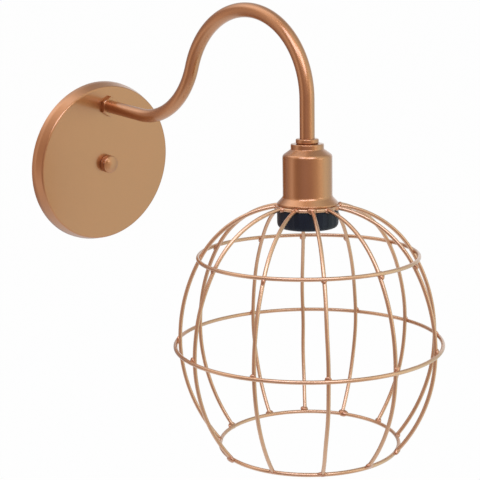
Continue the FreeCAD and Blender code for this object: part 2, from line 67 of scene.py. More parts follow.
def toHead(points):
    # turns head coordinates by the lean about X, then adds the head's origin
    s, c = math.sin(head["lean"]), math.cos(head["lean"])
    points = np.asarray(points, dtype=float)
    x, y, z = points[..., 0], points[..., 1], points[..., 2]
    turned = np.stack([x, y * c + z * s, -y * s + z * c], axis=-1)
    return turned + np.array(head["origin"])


def gridSurface(grid, wrapRows=False, capStart=False, capEnd=False):
    # quads between neighbours of a rows x columns grid whose columns close on themselves, and each end
    # closed by a fan of triangles to its centre where asked
    rows, columns = grid.shape[:2]
    index = np.arange(rows * columns).reshape(rows, columns)
    if wrapRows:
        index = np.vstack([index, index[:1]])
    index = np.hstack([index, index[:, :1]])
    corners = (index[:-1, :-1], index[:-1, 1:], index[1:, 1:], index[1:, :-1])
    quads = np.stack([corner.ravel() for corner in corners], axis=1)
    points, fans = grid.reshape(-1, 3), [np.empty((0, 3), dtype=int)]
    for wanted, row, order in ((capStart, 0, [1, 0, 2]), (capEnd, rows - 1, [0, 1, 2])):
        if wanted:
            rim = np.arange(columns) + row * columns
            points = np.vstack([points, grid[row].mean(axis=0)])
            fan = np.stack([rim, np.roll(rim, -1), np.full(columns, len(points) - 1)], axis=1)
            fans.append(fan[:, order])
    return points, quads, np.vstack(fans)


def meshFromGrids(name, grids, **options):
    # one mesh of one or more closed surfaces: each surface's corner numbers start after the points before it
    surfaces = [gridSurface(grid, **options) for grid in grids]
    starts = np.cumsum([0] + [len(points) for points, quads, fans in surfaces])
    faces = []
    for start, (points, quads, fans) in zip(starts, surfaces):
        faces += (quads + start).tolist() + (fans + start).tolist()
    mesh = bpy.data.meshes.new(name)
    mesh.from_pydata(np.vstack([points for points, quads, fans in surfaces]).tolist(), [], faces)
    mesh.update()
    mesh.shade_smooth()
    return mesh


def meshFromGrid(name, grid, **options):
    # one mesh of one closed surface
    return meshFromGrids(name, [grid], **options)


def revolve(profile, columns, lift=0.0):
    # carries a profile of (radius, height) round the Z axis: (r cos t, r sin t, h), the lift added to r
    turn = np.linspace(0, 2 * math.pi, columns, endpoint=False)
    radius = profile[:, :1] + lift * np.ones(columns)
    return np.stack([radius * np.cos(turn), radius * np.sin(turn),
                     np.broadcast_to(profile[:, 1:], radius.shape)], axis=-1)


def lineLength(line):
    # distance of each point from the line's start: the running sum of the gaps between points
    return np.concatenate([[0], np.cumsum(np.linalg.norm(np.diff(line, axis=0), axis=1))])


def pointsAlong(line, places):
    # the points at the given distances from the line's start, straight between its own points
    length = lineLength(line)
    return np.stack([np.interp(places, length, line[:, k]) for k in range(2)], axis=1)


def arcPoints(centre, first, last, count, overTop=False):
    # points on the arc about the centre from first to last, even in angle; overTop lets it pass 180 degrees
    start, end = (math.atan2(*(point - centre)[::-1]) for point in (first, last))
    if overTop and end < start:
        end += 2 * math.pi
    turn = np.linspace(start, end, count)
    radius = np.linalg.norm(first - centre)
    return centre + radius * np.stack([np.cos(turn), np.sin(turn)], axis=1)


# a point nearer to the one before it than the closest share of a step is dropped
profileLook = {"step": 0.0004, "roundPoints": 9, "closest": 0.2}


def roundedProfile(corners, step=profileLook["step"]):
    # joins corners (radius, height, rounding) by straight runs. A corner is cut at its rounding's distance
    # on either side, and (1 - t)^2 start + 2 t (1 - t) corner + t^2 end curves from one cut to the other.
    corners = np.asarray(corners, dtype=float)
    points, rounding = corners[:, :2], corners[:, 2]
    t = np.linspace(0, 1, profileLook["roundPoints"])[:, None]
    line = [points[0]]
    for before, at, after, cut in zip(points[:-2], points[1:-1], points[2:], rounding[1:-1]):
        if cut > 0:
            start = at + (before - at) / np.linalg.norm(before - at) * cut
            end = at + (after - at) / np.linalg.norm(after - at) * cut
            line.extend((1 - t) ** 2 * start + 2 * t * (1 - t) * at + t ** 2 * end)
        else:
            line.append(at)
    line = np.array([*line, points[-1]])
    length = lineLength(line)
    along = np.union1d(length, np.linspace(0, length[-1], max(int(length[-1] / step), 2)))
    along = along[np.concatenate([[True], np.diff(along) > step * profileLook["closest"]])]
    return pointsAlong(line, along)


def facesOutward(mesh):
    # signed volume of the closed mesh: the sum of a . (b x c) over its triangles, negative when inside out
    mesh.calc_loop_triangles()
    points = np.empty(len(mesh.vertices) * 3)
    mesh.vertices.foreach_get("co", points)
    points = points.reshape(-1, 3)
    corners = np.empty(len(mesh.loop_triangles) * 3, dtype=np.int32)
    mesh.loop_triangles.foreach_get("vertices", corners)
    a, b, c = (points[corners.reshape(-1, 3)[:, k]] for k in range(3))
    if np.einsum("ij,ij->i", a, np.cross(b, c)).sum() < 0:
        mesh.flip_normals()


def addPiece(mesh, body, material, replaced=()):
    # puts a finished mesh into the scene, on its body, in place of the nodes it stands for
    facesOutward(mesh)
    piece = bpy.data.objects.new(mesh.name, mesh)
    bpy.context.scene.collection.objects.link(piece)
    mesh.materials.append(material)
    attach(piece, body)
    if replaced:
        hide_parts(*replaced)


def newGroup(name, inputs, outputs):
    # a shader group with number inputs (label, value, lowest, highest) and outputs (label, kind)
    group = bpy.data.node_groups.new(name, "ShaderNodeTree")
    for label, value, low, high in inputs:
        socket = group.interface.new_socket(label, in_out="INPUT", socket_type="NodeSocketFloat")
        socket.default_value, socket.min_value, socket.max_value = value, low, high
    for label, kind in outputs:
        group.interface.new_socket(label, in_out="OUTPUT", socket_type=kind)
    return group, group.nodes.new("NodeGroupInput"), group.nodes.new("NodeGroupOutput")


def addNode(tree, kind, settings=None, inputs=None):
    # one node, its settings, and its inputs: each a value or the socket that feeds it
    node = tree.nodes.new(kind)
    for key, value in (settings or {}).items():
        setattr(node, key, value)
    for key, value in (inputs or {}).items():
        if isinstance(value, bpy.types.NodeSocket):
            tree.links.new(value, node.inputs[key])
        else:
            node.inputs[key].default_value = value
    return node


def mathOf(tree, operation, first, second):
    # the result of one sum, product or other operation on two numbers
    return addNode(tree, "ShaderNodeMath", {"operation": operation}, {0: first, 1: second}).outputs[0]


def noiseAt(tree, place, size, detail):
    # a noise whose patches are about size metres wide: its scale is 1 / size
    return addNode(tree, "ShaderNodeTexNoise", {}, {
        "Vector": place, "Scale": mathOf(tree, "DIVIDE", 1.0, size), "Detail": detail}).outputs["Fac"]


def spread(tree, noise, low, high):
    # maps the range where most of a noise lies on to low to high
    return addNode(tree, "ShaderNodeMapRange", {}, {
        "Value": noise, "From Min": noiseRange[0], "From Max": noiseRange[1], "To Min": low,
        "To Max": high}).outputs["Result"]


def makeSprayGroup():
    # sprayed finish: wide cloudy patches and fine flakes, both in one tone near 1 for the colour, which is
    # 1 + cloud x cloud depth + flake x flake depth, and a height for the peel of the film
    group, given, result = newGroup("sprayedFilm",
                                    [("Cloud Size", 0.03, 0.001, 1.0), ("Cloud Depth", 0.05, 0.0, 1.0),
                                     ("Flake Size", 0.0006, 0.0001, 0.01), ("Flake Depth", 0.1, 0.0, 1.0),
                                     ("Peel Size", 0.002, 0.0002, 0.1)],
                                    [("Tone", "NodeSocketFloat"), ("Grain", "NodeSocketFloat"),
                                     ("Peel", "NodeSocketFloat")])
    place = addNode(group, "ShaderNodeTexCoord").outputs["Object"]
    noise = {kind: noiseAt(group, place, given.outputs[kind + " Size"], detail)
             for kind, detail in (("Cloud", 3.0), ("Flake", 1.0), ("Peel", 1.0))}
    cloudy, flaky = (mathOf(group, "MULTIPLY", spread(group, noise[kind], -0.5, 0.5),
                            given.outputs[kind + " Depth"]) for kind in ("Cloud", "Flake"))
    tone = mathOf(group, "ADD", mathOf(group, "ADD", cloudy, flaky), 1.0)
    for label, socket in (("Tone", tone), ("Grain", noise["Cloud"]), ("Peel", noise["Peel"])):
        group.links.new(socket, result.inputs[label])
    return group


sprayedFilm = makeSprayGroup()


def newMaterial(name):
    # an empty material with its node tree and its Principled shader
    material = bpy.data.materials.new(name)
    material.use_nodes = True
    tree = material.node_tree
    return material, tree, tree.nodes["Principled BSDF"]


filmSockets = {"cloudSize": "Cloud Size", "cloudDepth": "Cloud Depth", "flakeSize": "Flake Size",
               "flakeDepth": "Flake Depth", "peelSize": "Peel Size"}
shaderSockets = {"metallic": "Metallic", "specular": "Specular IOR Level", "coat": "Coat Weight",
                 "coatRoughness": "Coat Roughness", "coatIor": "Coat IOR"}


def makeFinish(name, look):
    # one Principled surface: the colour times the film's tone, the film's grain spread over the roughness,
    # and the film's peel as a bump
    material, tree, shader = newMaterial(name)
    film = addNode(tree, "ShaderNodeGroup", {"node_tree": sprayedFilm},
                   {socket: look[key] for key, socket in filmSockets.items()})
    colour = addNode(tree, "ShaderNodeVectorMath", {"operation": "SCALE"},
                     {0: look["colour"], "Scale": film.outputs["Tone"]}).outputs[0]
    bump = addNode(tree, "ShaderNodeBump", {}, {"Strength": 1.0, "Distance": look["peelHeight"],
                                                "Height": film.outputs["Peel"]})
    tree.links.new(colour, shader.inputs["Base Color"])
    tree.links.new(spread(tree, film.outputs["Grain"], *look["roughness"]), shader.inputs["Roughness"])
    tree.links.new(bump.outputs["Normal"], shader.inputs["Normal"])
    for key, socket in shaderSockets.items():
        if key in look:
            shader.inputs[socket].default_value = look[key]
    return material


# satin copper lacquer: a metallic base under a thin clear film; the wire's is the same lacquer painted
# paler, a painted sheen, and the welds' uneven
lacquerLook = {"colour": (0.455, 0.196, 0.074), "metallic": 0.94, "roughness": (0.31, 0.37), "coat": 0.8,
               "coatRoughness": 0.15, "coatIor": 1.7, "cloudSize": 0.035, "cloudDepth": 0.06,
               "flakeSize": 0.0005, "flakeDepth": 0.10, "peelSize": 0.004, "peelHeight": 0.000002}
# the wire's paler colour is painted sheen: it stands in for the highlights along the thin wires, which carry
# the same lacquer
wireLacquerAndSheenLook = dict(lacquerLook, colour=(0.59, 0.345, 0.20), cloudSize=0.02, cloudDepth=0.12, peelSize=0.003,
                peelHeight=0.00001)
weldFilmLook = dict(lacquerLook, colour=(0.50, 0.235, 0.125), cloudSize=0.004, cloudDepth=0.4,
                    flakeDepth=0.2, peelSize=0.0012, peelHeight=0.0001)
zincLook = {"colour": (0.60, 0.61, 0.60), "metallic": 1.0, "roughness": (0.28, 0.42), "cloudSize": 0.006,
            "cloudDepth": 0.16, "flakeSize": 0.0008, "flakeDepth": 0.10, "peelSize": 0.001,
            "peelHeight": 0.00001}
brassLook = {"colour": (0.76, 0.55, 0.25), "metallic": 1.0, "roughness": (0.18, 0.32), "cloudSize": 0.008,
             "cloudDepth": 0.14, "flakeSize": 0.001, "flakeDepth": 0.06, "peelSize": 0.002,
             "peelHeight": 0.00001}
plasticLook = {"colour": (0.006, 0.011, 0.022), "metallic": 0.0, "specular": 0.25, "roughness": (0.40, 0.50),
               "cloudSize": 0.01, "cloudDepth": 0.2, "flakeSize": 0.0006, "flakeDepth": 0.15,
               "peelSize": 0.0009, "peelHeight": 0.00003}
porcelainLook = {"colour": (0.80, 0.79, 0.75), "metallic": 0.0, "roughness": (0.10, 0.18), "cloudSize": 0.01,
                 "cloudDepth": 0.05, "flakeSize": 0.0005, "flakeDepth": 0.04, "peelSize": 0.003,
                 "peelHeight": 0.00002}

copperLacquer = makeFinish("copperLacquer", lacquerLook)
wireLacquerPaintedSheen = makeFinish("wireLacquerPaintedSheen", wireLacquerAndSheenLook)
weldLacquer = makeFinish("weldLacquer", weldFilmLook)
zincSteel = makeFinish("zincSteel", zincLook)
pressedBrass = makeFinish("pressedBrass", brassLook)
blackPlastic = makeFinish("blackPlastic", plasticLook)
glazedPorcelain = makeFinish("glazedPorcelain", porcelainLook)

nodeMaterials = {"copper_lacquer": copperLacquer, "zinc_steel": zincSteel, "brass": pressedBrass,
                 "black_plastic": blackPlastic, "porcelain": glazedPorcelain}
for part in frame["record"]["subparts"]:
    mesh = nodes[part["node"]].data
    mesh.materials.clear()
    mesh.materials.append(nodeMaterials[part["material_slot"]])
print("materials made")

cageLook = {"wire": 1.7 * mm, "neckRadius": 25.5 * mm,
            # radius of each hoop, and how far it hangs below the cup's mouth
            "hoops": {"top": (93.9 * mm, 44 * mm), "mid": (115 * mm, 120.6 * mm),
                      "bottom": (78.2 * mm, 210.9 * mm)},
            # how deep the ribs sit in the hoops and in the neck ring, the neck ring's play under the cup,
            # and how far the ribs' feet stand out and above the bottom hoop's centre
            "bite": 0.4 * mm, "neckBite": 0.3 * mm, "seatPlay": 0.1 * mm, "footOut": 1.0 * mm,
            "footUp": 1.1 * mm,
            # the waver of hand-bent wire: sideways on a rib, outward and upward on a hoop and the neck ring
            "ribStray": 0.28 * mm, "hoopStray": (0.12 * mm, 0.16 * mm), "neckStray": (0.03 * mm, 0.0),
            "thickStray": 0.012, "thickWaves": 12, "seeds": {"thick": 50, "out": 20, "up": 29},
            "arcSamples": 80, "ribSamples": 150, "hoopSamples": 300, "around": 16,
            "bearings": (20, 46, 71, 105, 131, 167, 201, 231, 261, 293, 323, 351)}


def ribLine():
    # radius and height along a rib, and each point's share of its length: an arc from the bottom hoop to the
    # waist, one to the top hoop, and a flatter crown to the neck ring, each tangent to the next
    look, hoops, count = cageLook, cageLook["hoops"], cageLook["arcSamples"]
    inside = 2 * look["wire"] - look["bite"]
    foot = np.array([hoops["bottom"][0] + look["footOut"], -hoops["bottom"][1] + look["footUp"]])
    waist = np.array([hoops["mid"][0] - inside, -hoops["mid"][1]])
    shoulder = np.array([hoops["top"][0] - inside, -hoops["top"][1]])
    top = np.array([look["neckRadius"] + look["wire"] - look["neckBite"], -look["wire"] - look["seatPlay"]])

    def waistCentre(point):
        # centre of the arc through the point that is upright at the waist: (a^2 + b^2) / 2a inward from it
        inward, rise = waist[0] - point[0], point[1] - waist[1]
        return waist - np.array([(inward ** 2 + rise ** 2) / (2 * inward), 0])

    flank = waistCentre(shoulder)
    normal = (shoulder - flank) / np.linalg.norm(shoulder - flank)
    chord = top - shoulder
    crown = shoulder + normal * (chord @ chord) / (2 * chord @ normal)
    line = np.vstack([arcPoints(waistCentre(foot), foot, waist, count)[:-1],
                      arcPoints(flank, waist, shoulder, count)[:-1], arcPoints(crown, shoulder, top, count)])
    even = np.linspace(0, lineLength(line)[-1], look["ribSamples"])
    return pointsAlong(line, even), even / even[-1]


def waviness(share, seed, waves=5):
    # a slow random wave along the wire: sines of the first few orders with random size and phase
    dice = np.random.RandomState(seed)
    order = np.arange(1, waves + 1)
    size = dice.normal(size=waves) / order
    phase = dice.uniform(0, phaseRange, waves)
    return (size * np.sin(2 * math.pi * order * share[:, None] + phase)).sum(axis=1)


def ribStray(number, share):
    # sideways distance along a rib: a slow wave times the root of sin(pi share), which is 0 at both ends
    return waviness(share, number) * cageLook["ribStray"] * np.sin(math.pi * share) ** 0.5


def ribAxes(bearing):
    # outward and sideways from the socket axis at a bearing: (cos b, sin b, 0) and (-sin b, cos b, 0)
    turn = math.radians(bearing)
    return np.array([math.cos(turn), math.sin(turn), 0]), np.array([-math.sin(turn), math.cos(turn), 0])


def hoopPlaces():
    # radius and drop of the three hoops and of the neck ring
    return dict(cageLook["hoops"], neck=(cageLook["neckRadius"], cageLook["wire"] + cageLook["seatPlay"]))


def wireAlong(path, radius, closed):
    # carries a circle along the path; its axes are the path's side and the tangent's cross product with it
    if closed:
        ahead = np.roll(path, -1, axis=0) - np.roll(path, 1, axis=0)
        outward = path - path.mean(axis=0)
    else:
        ahead = np.gradient(path, axis=0)
        outward = np.cross(path[0] - path[len(path) // 2], path[-1] - path[0])
    ahead /= np.linalg.norm(ahead, axis=1, keepdims=True)
    side = outward - (outward * ahead).sum(axis=1, keepdims=True) * ahead
    side /= np.linalg.norm(side, axis=1, keepdims=True)
    other = np.cross(ahead, side)
    turn = np.linspace(0, 2 * math.pi, cageLook["around"], endpoint=False)
    ring = np.cos(turn)[None, :, None] * side[:, None] + np.sin(turn)[None, :, None] * other[:, None]
    radius = np.broadcast_to(np.asarray(radius), (len(path),))
    return path[:, None] + radius[:, None, None] * ring


def makeRibs():
    # each rib turns its line about the socket axis by its bearing and strays a little sideways
    look = cageLook
    line, share = ribLine()
    for number, bearing in enumerate(look["bearings"], 1):
        along, across = ribAxes(bearing)
        path = line[:, :1] * along + ribStray(number, share)[:, None] * across + line[:, 1:] * upAxis
        uneven = waviness(share, number + look["seeds"]["thick"], look["thickWaves"])
        grid = toHead(wireAlong(path, look["wire"] * (1 + look["thickStray"] * uneven), False))
        addPiece(meshFromGrid("wireRib_%02d" % number, grid, capStart=True, capEnd=True), "cage",
                 wireLacquerPaintedSheen, ("rib_%02d" % number,))


def makeHoops():
    # a circle about the socket axis whose radius and height stray by slow waves
    look, seeds = cageLook, cageLook["seeds"]
    turn = np.linspace(0, 2 * math.pi, look["hoopSamples"], endpoint=False)
    share = turn / (2 * math.pi)
    for number, (name, (radius, drop)) in enumerate(hoopPlaces().items()):
        outStray, upStray = look["neckStray" if name == "neck" else "hoopStray"]
        out = radius + waviness(share, seeds["out"] + number) * outStray
        up = -drop + waviness(share, seeds["up"] + number) * upStray
        path = np.stack([out * np.cos(turn), out * np.sin(turn), up], axis=1)
        addPiece(meshFromGrid("hoop_" + name, toHead(wireAlong(path, look["wire"], True)), wrapRows=True),
                 "cage", wireLacquerPaintedSheen, (name + "_ring",))


# half sizes in millimetres along the hoop, outward and along the rib, then how far up the rib the bead sits
weldLook = {"top": ((2.5, 1.7, 3.1), -2.0), "mid": ((2.5, 1.7, 3.0), 1.4), "bottom": ((4.2, 2.1, 3.0), 1.3),
            "neck": ((4.1, 2.5, 2.6), 0.0),
            # how much the beads differ: up the rib, sideways and in size, and the depth of their lumps
            "upSpread": 0.7, "sideSpread": 0.5, "sizeRange": (0.82, 1.18), "uneven": 0.2, "lumpWaves": 3,
            "rows": 14, "columns": 20, "firstSeed": 200, "seedStep": 20}


def beadGrid(place, axes, size, seed):
    # an ellipsoid about the place, its radius changed by a few low waves over latitude and longitude
    look, dice = weldLook, np.random.RandomState(seed)
    tilt = np.linspace(0, math.pi, look["rows"] + 2)[1:-1, None]
    turn = np.linspace(0, 2 * math.pi, look["columns"], endpoint=False)[None, :]
    lump = np.ones((look["rows"], look["columns"]))
    for order in range(1, look["lumpWaves"] + 1):
        turnPhase, tiltPhase = dice.uniform(0, phaseRange, 2)
        wave = np.sin(order * turn + turnPhase) * np.sin(tilt) * np.cos(order * tilt + tiltPhase)
        lump += dice.normal() * look["uneven"] / order * wave
    ball = np.stack([np.sin(tilt) * np.cos(turn), np.sin(tilt) * np.sin(turn),
                     np.cos(tilt) * np.ones_like(turn)], axis=-1) * lump[..., None]
    return place + (ball * size) @ axes


def makeWelds():
    # a bead where each rib meets a hoop, half way between the two wires, with its own size, place and lumps
    look = weldLook
    line, share = ribLine()
    for seed, (name, (radius, drop)) in enumerate(hoopPlaces().items(), look["firstSeed"]):
        (size, rise), dice, beads = look[name], np.random.RandomState(seed), []
        at = int(np.abs(line[:, 1] + drop).argmin())
        ahead = line[min(at + 1, len(line) - 1)] - line[max(at - 1, 0)]
        ahead /= np.linalg.norm(ahead)
        middle = 0.5 * (line[at, 0] + radius)
        for number, bearing in enumerate(cageLook["bearings"], 1):
            along, across = ribAxes(bearing)
            up = ahead[0] * along + ahead[1] * upAxis
            slide = (rise + dice.normal() * look["upSpread"]) * mm
            aside = ribStray(number, share)[at] + dice.normal() * look["sideSpread"] * mm
            place = middle * along + aside * across - drop * upAxis + up * slide
            own = np.array(size) * mm * dice.uniform(*look["sizeRange"], 3)
            axes = np.stack([across, np.cross(across, up), up])
            beads.append(toHead(beadGrid(place, axes, own, seed * look["seedStep"] + number)))
        addPiece(meshFromGrids("welds_" + name, beads, capStart=True, capEnd=True), "cage",
                 weldLacquer)


makeRibs()
makeHoops()
makeWelds()
print("cage made")

ringLook = {"radius": 26 * mm, "height": 16 * mm, "bore": 19.65 * mm, "top": -3.6 * mm, "lowerRound": 5 * mm,
            "upperRound": 0.8 * mm, "boreRounds": (0.5 * mm, 0.3 * mm), "grips": 16, "gripDepth": 0.35 * mm,
            "gripShare": 0.5, "gripFade": 1.2 * mm, "seam": (2 * mm, 3 * mm), "columns": 384}


def makeShadeRing():
    # profile round the ring's section, from a seam in the bore; the outer wall dips at each grip by the
    # root of 1 - p^2, with p from -1 to 1 across the grip, faded out at the rounded ends
    look = ringLook
    top, low = look["top"], look["top"] - look["height"]
    outer, bore = look["radius"], look["bore"]
    profile = roundedProfile([(bore, low + look["seam"][0], 0), (bore, low, look["boreRounds"][0]),
                              (outer, low, look["lowerRound"]), (outer, top, look["upperRound"]),
                              (bore, top, look["boreRounds"][1]), (bore, low + look["seam"][1], 0)])
    turn = np.linspace(0, 2 * math.pi, look["columns"], endpoint=False)
    phase = (turn * look["grips"] / (2 * math.pi)) % 1.0 - 0.5
    notch = np.clip(1 - (np.abs(phase) / (look["gripShare"] / 2)) ** 2, 0, 1) ** 0.5
    wall = np.clip((profile[:, 0] - (outer - look["gripFade"])) / look["gripFade"], 0, 1)
    grid = toHead(revolve(profile, look["columns"], -look["gripDepth"] * wall[:, None] * notch))
    addPiece(meshFromGrid("moulded_ring", grid, wrapRows=True), "shade_ring", blackPlastic,
             ("shade_ring",))


shellLook = {"radius": 13.2 * mm, "wall": 0.4 * mm, "low": -8 * mm, "top": 9.5 * mm, "pitch": 3.6 * mm,
             "depth": 0.9 * mm, "fade": 1.2 * mm, "columns": 96, "rows": 120}


def makeScrewShell():
    # rolled thread: the radius swells by a cosine of the height over the pitch less the turn, and both ends
    # of the shell are plain
    look = shellLook
    height = np.linspace(look["low"], look["top"], look["rows"])
    turn = np.linspace(0, 2 * math.pi, look["columns"], endpoint=False)
    wave = 0.5 - 0.5 * np.cos(2 * math.pi * height[:, None] / look["pitch"] - turn)
    fade = np.clip((height - look["low"]) / look["fade"], 0, 1) * np.clip(
        (look["top"] - height) / look["fade"], 0, 1)
    swell = look["depth"] * wave * fade[:, None]
    sheets = []
    for extra, order in ((0.0, slice(None)), (look["wall"], slice(None, None, -1))):
        radius = (look["radius"] + swell + extra)[order]
        sheets.append(np.stack([radius * np.cos(turn), radius * np.sin(turn),
                                np.broadcast_to(height[order][:, None], radius.shape)], axis=-1))
    addPiece(meshFromGrid("threaded_shell", toHead(np.vstack(sheets)), wrapRows=True), "fixture",
             pressedBrass, ("screw_shell",))


thumbLook = {"radius": 8.8 * mm, "knurlHeight": 7 * mm, "bevel": 0.7 * mm, "bore": 2.05 * mm,
             "boreDepth": 0.3 * mm, "seat": 13.5 * mm, "rounds": (0.1 * mm, 0.2 * mm, 0.15 * mm),
             # the pole is the dome's last row, as a share of its radius
             "rim": (0.5 * mm, 0.15 * mm), "domeRise": 1.8 * mm, "domeRows": 24, "pole": 0.02,
             # the lower the flatness, the steeper the ridges' sides
             "ridges": 40, "slant": 0.9, "depth": 0.28 * mm, "ridgeFade": 0.35 * mm, "flatness": 0.6,
             "step": 0.00016, "columns": 320}


def makeThumbNut():
    # profile from the bore over the back, the side and the dome, which falls by the square of the radius, to
    # the pole; the side has crossed ridges, the product of two slanted sines
    look = thumbLook
    radius, high, bevel = look["radius"], look["knurlHeight"], look["bevel"]
    (backRound, sideRound, topRound), (rimWidth, rimRise) = look["rounds"], look["rim"]
    side = roundedProfile([(look["bore"], look["boreDepth"], 0), (look["bore"], 0, backRound),
                           (radius - bevel, 0, backRound), (radius, bevel, sideRound),
                           (radius, high - bevel, sideRound), (radius - bevel, high, topRound),
                           (radius - bevel - rimWidth, high + rimRise, 0)], step=look["step"])
    out = np.linspace(1, look["pole"], look["domeRows"])
    edge, base = side[-1]
    dome = np.stack([edge * out, base + (look["domeRise"] - rimRise) * (1 - out ** 2)], axis=1)
    profile = np.vstack([side, dome[1:]])
    turn = np.linspace(0, 2 * math.pi, look["columns"], endpoint=False)
    height = profile[:, 1:] / radius * look["slant"]
    ridges = np.sin(look["ridges"] / 2 * (turn + height)) * np.sin(look["ridges"] / 2 * (turn - height))
    groove = 0.5 + 0.5 * np.sign(ridges) * np.abs(ridges) ** look["flatness"]
    wall = np.clip((profile[:, 0] - (radius - look["ridgeFade"])) / look["ridgeFade"], 0, 1)
    grid = revolve(profile, look["columns"], -look["depth"] * wall[:, None] * groove)
    turned = np.stack([grid[..., 0], -look["seat"] - grid[..., 2], grid[..., 1]], axis=-1)
    addPiece(meshFromGrid("knurled_nut", turned, capStart=True, capEnd=True), "canopy_nut",
             copperLacquer, ("canopy_nut",))


canopyLook = {"rear": 81 * mm, "bend": (80.6 * mm, 4.6 * mm), "front": 77.6 * mm, "depth": 13.5 * mm,
              "sheet": 1.2 * mm, "studHole": 2.3 * mm, "bendRound": 1.5 * mm, "edgeRound": 1.4 * mm,
              "rimRound": 0.3 * mm, "insideRound": 0.5 * mm, "plateEdge": 64 * mm, "plateRows": 26,
              "steps": (0.0003, 0.0006), "columns": 360}


def makeCanopy():
    # the sheet's section, outside from the rim to the flat plate, over the plate to the hole and inside
    # back to the rim, turned about the canopy's axis; the finer steps outside keep the roundings smooth
    look = canopyLook
    sheet, depth, front, rear, edge = (look[key] for key in ("sheet", "depth", "front", "rear", "plateEdge"))
    bendRadius, bendDepth = look["bend"]
    outer = roundedProfile([(rear - sheet * 0.5, 0, 0), (rear, 0, look["rimRound"]),
                            (bendRadius, bendDepth, look["bendRound"]), (front, depth, look["edgeRound"]),
                            (edge, depth, 0)], step=look["steps"][0])
    inner = roundedProfile([(edge, depth - sheet, 0), (front - sheet, depth - sheet, look["insideRound"]),
                            (bendRadius - sheet, bendDepth, look["bendRound"]),
                            (rear - sheet, 0, look["rimRound"]), (rear - sheet * 0.5, 0, 0)],
                           step=look["steps"][1])
    reach = np.linspace(edge, look["studHole"], look["plateRows"])[1:, None]
    plate = [np.hstack([reach, np.full_like(reach, depth)]),
             np.hstack([reach[::-1], np.full_like(reach, depth - sheet)])]
    grid = revolve(np.vstack([outer, *plate, inner[:-1]]), look["columns"])
    turned = np.stack([grid[..., 0], -grid[..., 2], grid[..., 1]], axis=-1)
    addPiece(meshFromGrid("canopy_dish", turned, wrapRows=True), "fixture", copperLacquer,
             ("canopy",))


cupLook = {"mouth": 26 * mm, "lip": 1.6 * mm, "flareTop": 7 * mm, "radius": 21 * mm, "bodyTop": 42 * mm,
           "stepBase": 47 * mm, "stepRadius": 14 * mm, "height": 51.5 * mm, "wall": 0.8 * mm,
           "bore": 5.1 * mm, "footRounds": (0.15 * mm, 0.2 * mm), "lipRound": 0.4 * mm,
           "flareRound": 1.6 * mm, "shoulderRound": 2 * mm, "neckRound": 0.5 * mm, "stepRound": 1.2 * mm,
           "insideDrop": 0.6, "seam": 0.1 * mm, "columns": 240}


def makeCup():
    # outline of the spun cup from its mouth up to the bore and back down inside, turned about the socket
    # axis; where the cup narrows, the inside's corners lie lower by a share of the wall
    look = cupLook
    wall, mouth, lip, radius, bodyTop, flareTop, step, stepBase, high, bore = (look[key] for key in (
        "wall", "mouth", "lip", "radius", "bodyTop", "flareTop", "stepRadius", "stepBase", "height", "bore"))
    drop = wall * look["insideDrop"]
    outline = [(mouth - wall, lip, 0), (mouth - wall, 0, look["footRounds"][0]),
               (mouth, 0, look["footRounds"][1]), (mouth, lip, look["lipRound"]),
               (radius, flareTop, look["flareRound"]), (radius, bodyTop, look["shoulderRound"]),
               (step, stepBase, look["neckRound"]), (step, high, look["stepRound"]), (bore, high, 0),
               (bore, high - wall, 0), (step - wall, high - wall, 0), (step - wall, stepBase - drop, 0),
               (radius - wall, bodyTop - drop, 0), (radius - wall, flareTop, 0),
               (mouth - wall, lip + look["seam"], 0)]
    grid = toHead(revolve(roundedProfile(outline), look["columns"]))
    addPiece(meshFromGrid("spun_cup", grid, wrapRows=True), "fixture", copperLacquer,
             ("cup",))


collarLook = {"radius": 9.7 * mm, "height": 4.2 * mm, "bore": 6.4 * mm, "round": 1.3 * mm,
              "seam": (0.2 * mm, 0.4 * mm), "step": 0.00025, "columns": 160}


def makeCollar():
    # the turned collar's section on top of the cup, from a seam in its bore, turned about the socket axis
    look = collarLook
    radius, high, bore = look["radius"], look["height"], look["bore"]
    outline = [(bore, look["seam"][0], 0), (bore, 0, 0), (radius, 0, look["round"]),
               (radius, high, look["round"]), (bore, high, 0), (bore, look["seam"][1], 0)]
    profile = roundedProfile(outline, step=look["step"]) + np.array([0, cupLook["height"]])
    grid = toHead(revolve(profile, look["columns"]))
    addPiece(meshFromGrid("turned_collar", grid, wrapRows=True), "fixture", copperLacquer,
             ("cup_collar",))


armLook = {"radius": 6.35 * mm, "bore": 5.15 * mm, "start": -4.5 * mm, "height": 58 * mm, "run": 64.3 * mm,
           "bend": 71.5 * mm, "peak": 172.7 * mm, "bendSamples": 200, "archSamples": 400, "around": 64,
           "step": 0.0012}


def armPath():
    # (y, z) along the tube: level run, first bend, arch and last run down the socket axis. The arch touches
    # the level of its peak and the axis, and its centre lies both radii away from the bend's centre: a
    # quadratic equation for its radius.
    look, lean = armLook, head["lean"]
    axis, across = np.array([math.sin(lean), math.cos(lean)]), np.array([math.cos(lean), -math.sin(lean)])
    mouth = np.array(head["origin"][1:])
    bend = np.array([-look["run"], look["height"] + look["bend"]])
    start = mouth + axis * (look["peak"] - mouth[1]) / axis[1]
    slope = across - axis * (1 - axis[0]) / axis[1]
    gap = start - bend
    a, b, c = slope @ slope - 1, 2 * (gap @ slope - look["bend"]), gap @ gap - look["bend"] ** 2
    radius = (-b - math.sqrt(b ** 2 - 4 * a * c)) / (2 * a)
    arch = start + slope * radius
    meet = bend + (arch - bend) / np.linalg.norm(arch - bend) * look["bend"]
    low = np.array([bend[0], look["height"]])
    line = np.vstack([[look["start"], look["height"]], arcPoints(bend, low, meet, look["bendSamples"]),
                      arcPoints(arch, meet, arch - across * radius, look["archSamples"], overTop=True)[1:],
                      mouth + axis * cupLook["height"]])
    length = lineLength(line)[-1]
    return pointsAlong(line, np.linspace(0, length, int(length / look["step"])))


